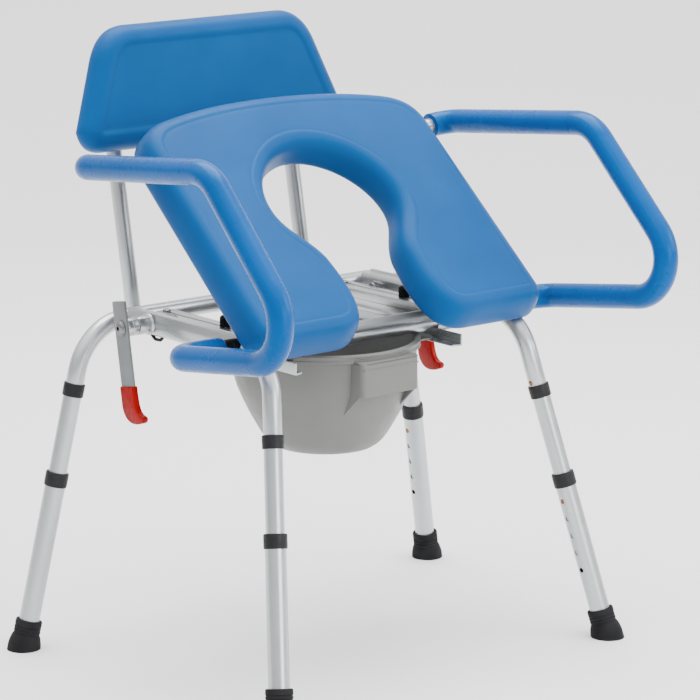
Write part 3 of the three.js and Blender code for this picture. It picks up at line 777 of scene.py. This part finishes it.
# ---------- padding
def cushion(outline, profile, fill_step, crown, low_profile=None):
    """A closed pad from a counter-clockwise outline. profile is (inset, height) pairs from the lower rim up to
    the top face; both faces are filled, the top more finely, and crown(x, y, gap) shapes it."""
    outline = counter_clockwise(outline)
    n = len(outline)
    verts, faces = [], walls(len(profile), n)
    for d, z in profile:
        verts.extend((x, y, z) for x, y in (inset(outline, d) if d else outline))
    for level, flip in ((0, True), (len(profile) - 1, False)):
        d, z = profile[level]
        ring = [Vector(v[:2]) for v in verts[level * n:(level + 1) * n]]
        xs, ys = [p.x for p in ring], [p.y for p in ring]
        step = fill_step if not flip else fill_step * 3
        inner = []
        y, row = min(ys) + step / 2, 0
        while y < max(ys):
            x = min(xs) + step / 2 + (step / 2 if row % 2 else 0)
            while x < max(xs):
                p = Vector((x, y))
                if inside(p, ring) and away(p, ring) > step * 0.7:
                    inner.append(p)
                x += step
            y += step * 0.87
            row += 1
        points = ring + inner
        edges = [(i, (i + 1) % n) for i in range(n)]
        out = geometry.delaunay_2d_cdt(points, edges, [], 1, 1e-6)
        base = len(verts)
        index = {}
        for i, origins in enumerate(out[3]):
            first = min(origins) if origins else None
            if first is not None and first < n:
                index[i] = level * n + first
            else:
                index[i] = len(verts)
                p = out[0][i]
                verts.append((p.x, p.y, z))
        for face in out[2]:
            f = [index[i] for i in face]
            faces.append(list(reversed(f)) if flip else f)
    foot, top = profile[0][1], profile[-1][1]
    shaped = []
    ring = [Vector(p) for p in outline]
    for x, y, z in verts:
        lift = crown(x, y, away(Vector((x, y)), ring)) * max(0, (z - foot) / (top - foot))
        shaped.append((x, y, z + lift))
    return shaped, faces


def inside(p, ring):
    """Whether a point lies within a closed outline."""
    hit, j = False, len(ring) - 1
    for i in range(len(ring)):
        a, b = ring[i], ring[j]
        if (a.y > p.y) != (b.y > p.y) and p.x < (b.x - a.x) * (p.y - a.y) / (b.y - a.y) + a.x:
            hit = not hit
        j = i
    return hit


RINGS = {}  # the last outline that away() was asked about, as arrays


def away(p, ring):
    """Distance from a point to a closed outline."""
    key = id(ring)
    if key not in RINGS:
        a = np.array([(q.x, q.y) for q in ring])
        RINGS.clear()
        RINGS[key] = (ring, a, np.roll(a, -1, axis=0) - a)
    _, a, d = RINGS[key]
    w = np.array((p.x, p.y)) - a
    t = np.clip((w * d).sum(1) / np.maximum((d * d).sum(1), 1e-12), 0, 1)
    return float(np.sqrt((((w - d * t[:, None]) ** 2).sum(1)).min()))


def bezier(p0, p1, p2, p3, steps):
    out = []
    for k in range(1, steps + 1):
        t = k / steps
        out.append(tuple((1 - t) ** 3 * Vector(p0) + 3 * t * (1 - t) ** 2 * Vector(p1)
                         + 3 * t * t * (1 - t) * Vector(p2) + t ** 3 * Vector(p3)))
    return out


def quadratic(p0, p1, p2, steps):
    out = []
    for k in range(1, steps + 1):
        t = k / steps
        out.append(tuple((1 - t) ** 2 * Vector(p0) + 2 * t * (1 - t) * Vector(p1) + t * t * Vector(p2)))
    return out


def line(p0, p1, steps):
    return [tuple(Vector(p0).lerp(Vector(p1), k / steps)) for k in range(1, steps + 1)]


def seat_outline(d=0):
    """Half the open-front seat's edge, from the middle of the rear round to the middle of the hole, mirrored."""
    half, rear, front, wide, apex = 254 - d, 357 - d, -60 + d, 104 + d, 257 + d
    p = [(0, rear)]
    p += quadratic(p[-1], (110, rear), (190 - d, rear - 19), 14)
    p += quadratic(p[-1], (half - 8, rear - 31), (half - 4, rear - 81), 14)
    p += line(p[-1], (half, front + 32), 16)
    p += quadratic(p[-1], (half, front), (half - 35, front), 14)
    p += line(p[-1], (118, front), 8)
    p += quadratic(p[-1], (78 + d, front), (66 + d, front + 34), 14)
    p += bezier(p[-1], (58 + d, -6), (58 + d, 30), (64 + d, 66), 10)
    p += bezier(p[-1], (74 + d, 105), (wide, 120), (wide, 158), 14)
    p += bezier(p[-1], (wide, 212), (52, apex), (0, apex), 18)
    return p + [(-x, y) for x, y in reversed(p[1:-1])]


def flat(x, y, gap):
    """The crown of a board: none."""
    return 0


def add_seat():
    profile = [(26, 37.4), (9, 37.2), (5, 37.8), (2.2, 39.6), (0.6, 42.4), (0, 46), (0.2, 54), (1.0, 61.5),
               (2.4, 68.5), (4.4, 74), (7.4, 78.8), (11.2, 82.3), (15.6, 84.6), (20.4, 85.7), (23.4, 85.9),
               (25.0, 85.5), (26.4, 85.3), (28.0, 85.5), (32, 85.6)]

    def crown(x, y, gap):
        soft = min(1.0, gap / 70)
        wobble = noise.noise(Vector((x, y, 0)) * 0.012) * 0.9
        return 0.5 * soft * (2 - soft) + wobble * soft
    pad = piece("seat_cushion", cushion(seat_outline(), profile, 8, crown), "seat_top", PAD_BLUE,
                ["seat_pad"], SEAT, sharp=60)
    board = cushion(seat_outline(30), [(0.6, 32.7), (0, 33.3), (0, 36.1), (0.6, 36.7)], 30, flat)
    piece("seat_base_board", board, "seat_top", BOARD, ["seat_board"], SEAT)


def back_outline(d=0):
    """The backrest's edge: straight below, with sides that lean in towards the top."""
    low, high, w = 217 + d, 391 - d, 233 - d
    p = line((0, low), (w - 36, low), 10)
    p += quadratic(p[-1], (w - 4, low), (w, low + 32), 12)
    p += line(p[-1], (w - 34, high - 54), 8)
    p += quadratic(p[-1], (w - 52, high), (w - 98, high), 16)
    p += line(p[-1], (0, high), 8)
    return p[:-1] + [(0, high)] + [(-x, y) for x, y in reversed(p[:-1])] + [(0, low)]


def add_backrest():
    # height is measured forwards from the back of the pad
    profile = [(14, 0.2), (6, 0.5), (2.4, 2.0), (0.5, 5), (0, 9.5), (0.3, 14.5), (1.6, 19.5), (4, 24.2),
               (7.6, 28.4), (12, 31.6), (17, 33.2), (21.5, 33.9), (25, 33.7), (27.6, 33.0), (29.4, 32.4), (31, 32.2),
               (36, 32.3)]

    def crown(x, y, gap):
        soft = min(1.0, gap / 60)
        return noise.noise(Vector((x, y, 5)) * 0.014) * 0.9 * soft
    turned = BACK @ Matrix.Translation((0, -15.9, 0)) @ Y_TO_Z
    pad = piece("backrest_cushion", cushion(back_outline(), profile, 8, crown), "frame", PAD_BLUE,
                ["backrest_pad"], turned, sharp=60)
    board = cushion(back_outline(16), [(0.6, -4), (0, -3.4), (0, -0.6), (0.6, 0)], 30, flat)
    turned = BACK @ Matrix.Translation((0, -15.4, 0)) @ Y_TO_Z
    piece("backrest_base_board", board, "frame", BOARD, ["backrest_board"], turned)
    reach = UPRIGHT_Y - REAR_Y - TUBE_R - GAP
    for label, side in SIDES:
        x = side * UPRIGHT_X
        tube = sweep([Vector((x, 0, z)) for z in (-22, 100, 200, 297)], [Vector((0, 0, 1))] * 4, THIN_TUBE_R)
        section = rounded([(x - 13, -21), (x + 13, -21), (x + 13, -7), (x - 13, -7)], 2)
        bracket = along_y(section, -reach + 3.5, 8, 0.6)
        piece(f"upright_{label}", merged(tube, bracket), "frame", ALUMINIUM,
              [f"backrest_upright_{label}"], BACK)
        cap = lathe_z([(10.9, 297.2), (10.9, 299.6)])
        piece(f"upright_cap_{label}", moved(cap, Matrix.Translation((x, 0, 0))), "frame", BLACK,
              (), BACK)


add_seat()
add_backrest()


# ---------- arms and pivot
def add_arm(label, side):
    """An arm loop: a bent tube from the axle round to the cross tube, in a foam sleeve."""
    def at(p):
        return Vector((side * p[0], p[1], p[2]))

    def loop(low_end, high_end):
        k = (ARM_HIGH[0] - high_end) / (ARM_HIGH[0] - CROSS_END)
        y = ARM_HIGH[1] + (CROSS_ALONG - ARM_HIGH[1]) * k
        z = ARM_HIGH[2] + (CROSS_LEVEL - ARM_HIGH[2]) * k
        corners = [(low_end, 0, 0), ARM_LOW, ARM_FRONT, ARM_BACK, ARM_HIGH, Vector((high_end, y, z))]
        return bent([at(p) for p in corners], [32, 58, 58, 32], 4)
    tube = sweep(*densify(*loop(251, CROSS_END), 40), THIN_TUBE_R, 32)
    piece(f"loop_tube_{label}", tube, "seat", ALUMINIUM, [f"arm_tube_{label}"], SEAT)
    points, along = densify(*loop(251.6, 298), 9)

    def skin(angle, station):
        """The thin mould line that runs along the foam."""
        d = abs((angle - 2 * math.pi * 22 / 64 + math.pi) % (2 * math.pi) - math.pi)
        return 0.22 * math.exp(-(d / 0.06) ** 2)
    foam = sweep(points, along, FOAM_R, 64, 2.4, skin)
    piece(f"loop_foam_{label}", foam, "seat", FOAM_BLUE, [f"arm_foam_{label}"], SEAT, sharp=60)
    bush = eased([(8.4, 226.2), (12.8, 226.2), (12.8, 237), (12.2, 237.6), (12.2, 239), (12.8, 239.6),
                  (12.8, 250.5), (8.4, 250.5)], 0.7)
    piece(f"bush_{label}", lathe(bush), "seat", BLACK, [f"pivot_bush_{label}"],
          SEAT @ y_to_x(side))


def add_seat_frame():
    axle = rod(-250.6, 250.6, 0, 0, 8)
    lug = prism(rounded([(-8, 0), (8, 0), (8, 21), (4, 25), (-4, 25), (-8, 21)], 1.5), -3, 3)
    z_to_x = Matrix(((0, 0, 1, 0), (1, 0, 0, 0), (0, 1, 0, 0), (0, 0, 0, 1)))
    lugs = [moved(lug, Matrix.Translation((side * INNER_RAIL_X, 0, 0)) @ z_to_x) for _, side in SIDES]
    piece("axle", merged(axle, *lugs), "seat", LEVER_GREY, ["pivot_axle"], SEAT)
    cross = rod(-224, 224, CROSS_ALONG, CROSS_LEVEL, THIN_TUBE_R)
    runners = [sweep([Vector((side * INNER_RAIL_X, y, 25.4)) for y in (9.4, 100, 200, CROSS_ALONG)],
                     [Vector((0, 1, 0))] * 4, 7) for _, side in SIDES]
    piece("seat_tubes", merged(cross, *runners), "seat", ALUMINIUM, ["seat_support_frame"], SEAT)


add_seat_frame()
for label, side in SIDES:
    add_arm(label, side)


# ---------- lock levers
def yz_plate(outline, x0, x1, edge):
    """An outline in Y and Z, extruded along X."""
    verts, faces = prism(outline, min(x0, x1), max(x0, x1), edge)
    return [(z, x, y) for x, y, z in verts], faces


def grip_outline():
    """The dipped grip in the lever's plane, with its hooked end."""
    p = [(15, -80)]
    p += line(p[-1], (-15, -80), 6)
    p += bezier(p[-1], (-15, -108), (-17, -117), (-28, -121), 12)
    p += quadratic(p[-1], (-35, -124), (-29, -130), 8)
    p += bezier(p[-1], (-13, -134.5), (11, -134.5), (15, -108), 16)
    return p


def add_lever(label, side):
    place = Matrix.Translation((0, LEVER_Y, LEVER_Z))
    lean = Matrix.Rotation(-LEVER_LEAN, 4, "X")
    body = f"lever_{label}"
    x, cam_x = side * LEVER_X, side * 186
    bar = yz_plate(rounded([(-14, -103), (14, -103), (14, 37), (-14, 37)], [2, 2, 3, 3]), x - 2, x + 2, 0.7)
    stub = [(0, 246), (11.6, 246), (12.6, 246.4), (13, 247.2), (13, 255.6), (12.5, 256.2), (12.5, 257), (13, 257.6),
            (13, 265), (12.4, 266), (0, 266)]
    shaft = rod(cam_x, side * 267, 0, 0, 5)
    cam = yz_plate(rounded([(-8, -14), (8, -14), (8, 8), (-8, 8)], 3), cam_x - 3, cam_x + 3, 0.6)
    piece(f"lock_lever_{label}", merged(moved(bar, lean), shaft, cam), body, LEVER_GREY,
          [f"lever_{label}"], place)
    piece(f"lever_hub_{label}", moved(lathe(stub, 48), y_to_x(side)), body, ALUMINIUM, (), place)
    grip = yz_plate(grip_outline(), x - 4.6, x + 4.6, 1.9)
    piece(f"red_grip_{label}", grip, body, RED, [f"lever_grip_{label}"], place @ lean, sharp=50)

    # the bolt that holds the bar: a domed head with a hexagon socket, dark inside from painted shade: a black disc
    # on the socket's floor
    head = lathe([(0, 0), (11.2, 0), (11.4, 0.3), (11.4, 1.3), (10.9, 1.7), (9.6, 1.7), (9.3, 2.3), (8.6, 3.4),
                  (6.8, 4.6), (5.0, 5.2), (0, 5.2)], 48)
    turn = place @ Matrix.Translation((side * (LEVER_X + 2), 0, 0)) @ y_to_x(side)
    bolt = piece(f"lever_bolt_{label}", moved(head, turn), body, BOLT_STEEL)
    key = moved(prism(hexagon(3.2), 2.4, 9, 0), Matrix.Rotation(-math.pi / 2, 4, "X"))
    subtract(bolt, moved(key, turn))
    nut = hex_bolt(side * 183, -side, 0, 0, 13, 5, 16)
    piece(f"lever_nut_{label}", moved(nut, place), body, BOLT_STEEL)
    # a thin black disc at the bottom of the socket: painted shade, not a part of the bolt
    socket_shade_disc = lathe([(0, 2.2), (2.6, 2.2), (2.6, 2.5), (0, 2.5)], 24)
    piece(f"lever_bolt_shadow_{label}", moved(socket_shade_disc, turn), body, BLACK)


for label, side in SIDES:
    add_lever(label, side)


# ---------- pail
def add_pail():
    top, floor, lip_end = PAIL_RIM_TOP, PAIL_RIM_TOP - PAIL_DEPTH, PAIL_RIM_TOP - PAIL_LIP
    outer = [(40, 0), (58, 0.3), (70, 3), (78, 8.4), (84, 14.6), (89, 21.5), (98, 37), (107, 53), (115.5, 71),
             (122.5, 87), (125.5, 97), (126.6, 107), (127.3, 120), (127.7, 136), (128, 150.6)]
    wall = [(r, floor + h) for r, h in outer]
    inner = [(r - 2.4, floor + h + (2.4 if h < 4 else 1.2)) for r, h in outer[:-1]] + [(125.4, top)]
    profile = [(0, floor), *wall, (130.2, top - 3.6), (130.6, top - 4.2), (130.7, lip_end + 0.6), (131.2, lip_end),
               (132.6, lip_end), (133.2, lip_end + 0.6), (133.2, lip_end + 3.6), (132.6, lip_end + 4.2),
               (132.7, top - 3.2), (133.4, top - 2.6), (133.4, top - 1.0), (132.6, top - 0.1), (131.2, top),
               (126.6, top), *reversed(inner), (0, floor + 2.4)]
    bowl = moved(lathe(profile, 128), Y_TO_Z)
    stand = Matrix.Translation((0, PAIL_Y, RAIL_Z))
    piece("pail_bowl", bowl, "pail", PAIL_GREY, ["pail"], stand, sharp=40)

    # side wings that slide in the runners, and the handle at the front
    core = lathe([(0, floor), *[(r - 1.2, z) for r, z in wall], (126.8, top + 30), (0, top + 30)], 128)
    core = moved(moved(core, Y_TO_Z), stand)
    solids = []
    for label, side in SIDES:
        wing = [(side * 100, -70), (side * 139, -70), (side * 145.2, -60), (side * 145.2, 60), (side * 139, 70),
                (side * 100, 70)]
        solids.append((f"wing_{label}", prism(rounded(wing, 4), lip_end, lip_end + 3.4, 0.8)))
    front, half, handle_top = -142, 51, -36
    plan = bent([(-half, -90, 0), (-half, front, 0), (half, front, 0), (half, -90, 0)], [7, 7], 8)[0]
    shell = band([(p.x, p.y) for p in plan], 2.6, lambda x, y: handle_top,
                 lambda x, y: -83.5 - 42 * min(1, max(0, y - front - 6) / 46))
    solids.append(("handle", shell))
    lid = rounded([(-half, -100), (-half, front), (half, front), (half, -100)], [0, 7, 7, 0])
    solids.append(("handle_top", prism(lid, handle_top - 3, handle_top, 1.1)))
    step = rounded([(-49, front + 1.5), (-49, front - 0.9), (49, front - 0.9), (49, front + 1.5)], [0, 2, 2, 0])
    solids.append(("handle_line", prism(step, -46.2, -44.6, 0.5)))
    for name, data in solids:
        made = piece(f"pail_{name}", data, "pail", PAIL_GREY, (), stand, sharp=40)
        subtract(made, core)


def band(path, thickness, high, low):
    """A wall of even thickness that follows a path in plan, with eased top and bottom edges."""
    n, edge, corners = len(path), 0.8, 8
    verts, faces = [], walls(n, corners)
    for i, (x, y) in enumerate(path):
        along = (Vector(path[min(i + 1, n - 1)]) - Vector(path[max(i - 1, 0)])).normalized()
        outer = Vector((x, y))
        inner = outer + Vector((-along.y, along.x)) * thickness
        h, l = high(x, y), low(x, y)
        inwards = (inner - outer).normalized() * edge
        ring = [(outer, l + edge), (outer, h - edge), (outer + inwards, h), (inner - inwards, h),
                (inner, h - edge), (inner, l + edge), (inner - inwards, l), (outer + inwards, l)]
        verts.extend((v.x, v.y, z) for v, z in ring)
    faces.append(list(range(corners - 1, -1, -1)))
    faces.append([(n - 1) * corners + k for k in range(corners)])
    return verts, faces


add_pail()


# ---------- studio
def add_studio():
    """A floor that curves up into a wall behind the chair, a sky brighter overhead, and three soft panels."""
    mesh = bpy.data.meshes.new("floor")
    verts, faces = [], []
    start, bend, steps = 3.0, 3.0, 16
    sweep_line = [(-14, 0.0), (0, 0.0), (start, 0.0)]
    for k in range(1, steps + 1):
        a = math.pi / 2 * k / steps
        sweep_line.append((start + bend * math.sin(a), bend - bend * math.cos(a)))
    sweep_line.append((start + bend, 9.0))
    view = Vector((0.6434, 0.7656, 0))
    across = Vector((view.y, -view.x, 0))
    for d, z in sweep_line:
        for w in (-12, 12):
            p = view * d + across * w
            verts.append((p.x, p.y, z))
    for i in range(len(sweep_line) - 1):
        faces.append((2 * i, 2 * i + 1, 2 * i + 3, 2 * i + 2))
    mesh.from_pydata(verts, [], faces)
    mesh.shade_smooth()
    floor = add_object("floor", mesh)
    s = Shader("pale_floor", (0.86, 0.86, 0.86, 1), 0.6, specular=0.2)
    s.vary_roughness(s.noise(3, 2), 0.55, 0.65)
    mesh.materials.append(s.material)

    world = bpy.data.worlds.new("studio")
    world.use_nodes = True
    background = next(n for n in world.node_tree.nodes if n.type == "BACKGROUND")
    background.inputs["Color"].default_value = (1, 1, 1, 1)
    nodes, links = world.node_tree.nodes, world.node_tree.links
    split, fade = nodes.new("ShaderNodeSeparateXYZ"), nodes.new("ShaderNodeMapRange")
    fade.inputs["From Min"].default_value, fade.inputs["From Max"].default_value = 0.0, 0.75
    fade.inputs["To Min"].default_value, fade.inputs["To Max"].default_value = 0.35, 2.6
    links.new(nodes.new("ShaderNodeTexCoord").outputs["Generated"], split.inputs["Vector"])
    links.new(split.outputs["Z"], fade.inputs["Value"])
    links.new(fade.outputs["Result"], background.inputs["Strength"])
    bpy.context.scene.world = world

    def panel(name, place, target, size, power):
        light = bpy.data.lights.new(name, "AREA")
        light.shape = "RECTANGLE"
        light.size, light.size_y = size
        light.energy = power
        obj = add_object(name, light)
        obj.location = place
        obj.rotation_euler = (Vector(target) - Vector(place)).to_track_quat("-Z", "Y").to_euler()
    panel("overhead", (0.3, 0.5, 3.2), (0, 0, 0.5), (2.6, 2.6), 150)
    panel("key", (2.6, -2.6, 2.0), (0, 0, 0.55), (1.6, 2.0), 60)
    panel("front", (0.2, -4.4, 1.3), (0, 0, 0.6), (2.4, 1.6), 75)


CAMERA_AT = (-3.0477, -3.6633, 1.4626)
CAMERA_AHEAD = (0.62823, 0.74761, -0.21543)
CAMERA_ROLL = math.radians(0.249)
CAMERA_LENS = 181.31  # millimetres, on a sensor 36 mm wide


def add_camera():
    ahead = Vector(CAMERA_AHEAD).normalized()
    level = Vector((ahead.y, -ahead.x, 0)).normalized()
    up = level.cross(ahead)
    x = level * math.cos(CAMERA_ROLL) + up * math.sin(CAMERA_ROLL)
    y = up * math.cos(CAMERA_ROLL) - level * math.sin(CAMERA_ROLL)
    data = bpy.data.cameras.new("camera")
    data.sensor_width = 36
    data.lens = CAMERA_LENS
    data.clip_end = 60
    camera = add_object("camera", data)
    camera.matrix_world = Matrix.Translation(CAMERA_AT) @ Matrix((x, y, -ahead)).transposed().to_4x4()
    bpy.context.scene.camera = camera


add_studio()
add_camera()
